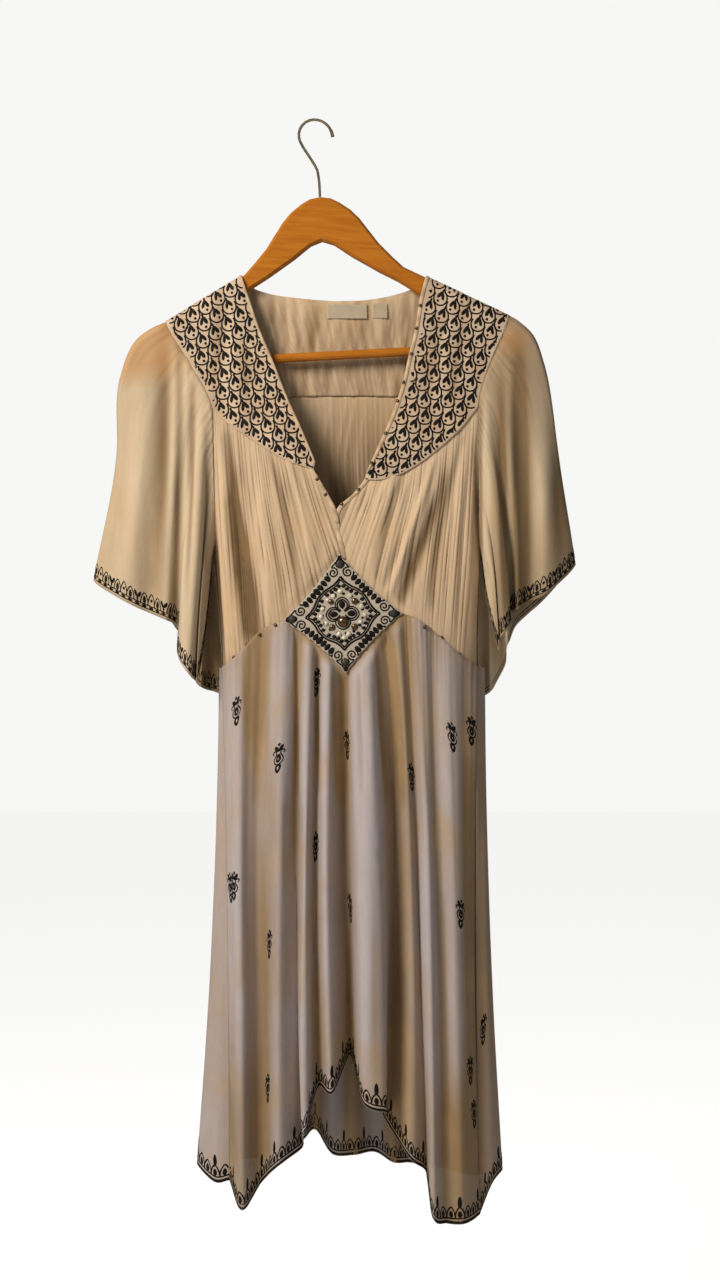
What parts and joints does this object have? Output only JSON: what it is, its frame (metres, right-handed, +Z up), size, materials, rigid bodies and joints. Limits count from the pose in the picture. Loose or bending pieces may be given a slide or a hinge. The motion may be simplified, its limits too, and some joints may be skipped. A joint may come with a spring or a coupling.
{
  "type": "peasant dress on a hanger",
  "caption": "V-neck peasant dress with embroidered yokes, pleated bodice, diamond applique, flutter sleeves and a gathered, uneven hem, on a wooden hanger.",
  "frame": {"origin": "the inside top of the hanger's hook, where a rod holds it", "axes": "+Z up along the hanging dress, -Y out of the front of the dress, +X to the right as seen from the front"},
  "size_m": [0.5073, 0.1236, 1.1501],
  "materials": {
    "yoke_cotton": "sheer crinkled cotton with black embroidery",
    "bodice_cotton": "sheer crinkled cotton",
    "sleeve_cotton": "sheer cotton",
    "skirt_cotton": "sheer cotton with black embroidery",
    "applique": "dense black embroidery with beads",
    "bronze_bead": "glossy",
    "label_satin": "satin, blank",
    "varnished_wood": "varnished, satin gloss",
    "hook_metal": "polished"
  },
  "bodies": {
    "root": {"hanger_wood": "varnished_wood", "hanger_bar": "varnished_wood", "hanger_hook": "hook_metal", "front_yoke_left": "yoke_cotton", "front_yoke_right": "yoke_cotton", "front_bodice_left": "bodice_cotton", "front_bodice_right": "bodice_cotton", "back_yoke": "yoke_cotton", "back_bodice": "bodice_cotton", "skirt_front": "skirt_cotton", "skirt_back": "skirt_cotton", "sleeve_left": "sleeve_cotton", "sleeve_right": "sleeve_cotton", "waist_medallion": "applique", "medallion_bead": "bronze_bead", "neck_label": "label_satin", "size_tag": "label_satin"}
  },
  "joints": []
}
